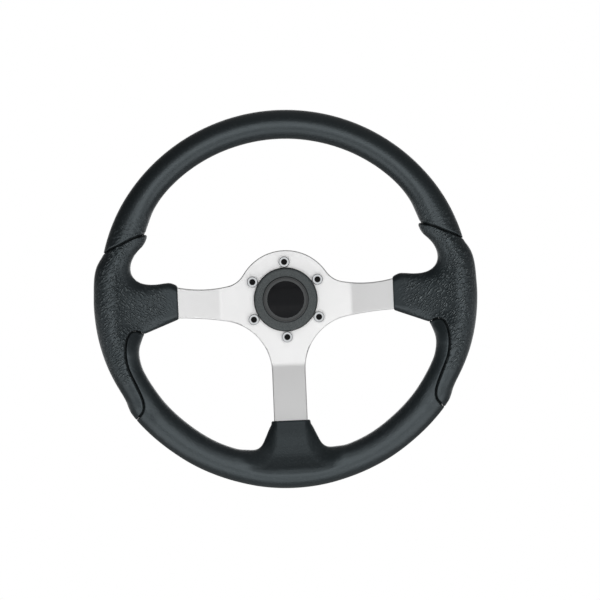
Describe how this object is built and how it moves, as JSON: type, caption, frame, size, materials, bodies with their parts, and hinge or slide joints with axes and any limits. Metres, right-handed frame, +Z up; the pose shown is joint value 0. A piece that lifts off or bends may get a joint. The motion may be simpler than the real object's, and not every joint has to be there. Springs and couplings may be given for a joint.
{
  "type": "boat steering wheel",
  "caption": "Dished three-spoke boat steering wheel: foam rim with hand grips over a steel ring, bent aluminium spoke plate, tapered hub adapter and snap-in centre cap.",
  "frame": {"origin": "centre of the large end of the tapered shaft bore, on the hub adapter's rear face", "axes": "+Y runs along the wheel's axis away from the driver, out of the bore's mouth; +Z points up, opposite the lower spoke; +X points right as the driver sees it"},
  "size_m": [0.3548, 0.0907, 0.3496],
  "materials": {
    "grip_foam": "leather-grained moulded polyurethane",
    "cover_foam": "satin moulded polyurethane",
    "spoke_aluminium": "satin anodised",
    "hub_aluminium": "turned, anodised",
    "screw_steel": "polished stainless",
    "core_steel": "plain bar",
    "rivet_aluminium": "plain",
    "bezel_plastic": "fine matte",
    "cap_plastic": "satin",
    "badge_gloss": "high gloss"
  },
  "bodies": {
    "root": {"hub_adapter": "hub_aluminium", "spoke_plate": "spoke_aluminium", "hub_screws": "screw_steel", "cap_bezel": "bezel_plastic", "centre_cap": "cap_plastic", "badge_disc": "badge_gloss", "rim_core": "core_steel", "spoke_rivets": "rivet_aluminium", "upper_rim_cover": "cover_foam", "lower_rim_cover": "cover_foam", "left_hand_grip": "grip_foam", "right_hand_grip": "grip_foam"}
  },
  "joints": []
}
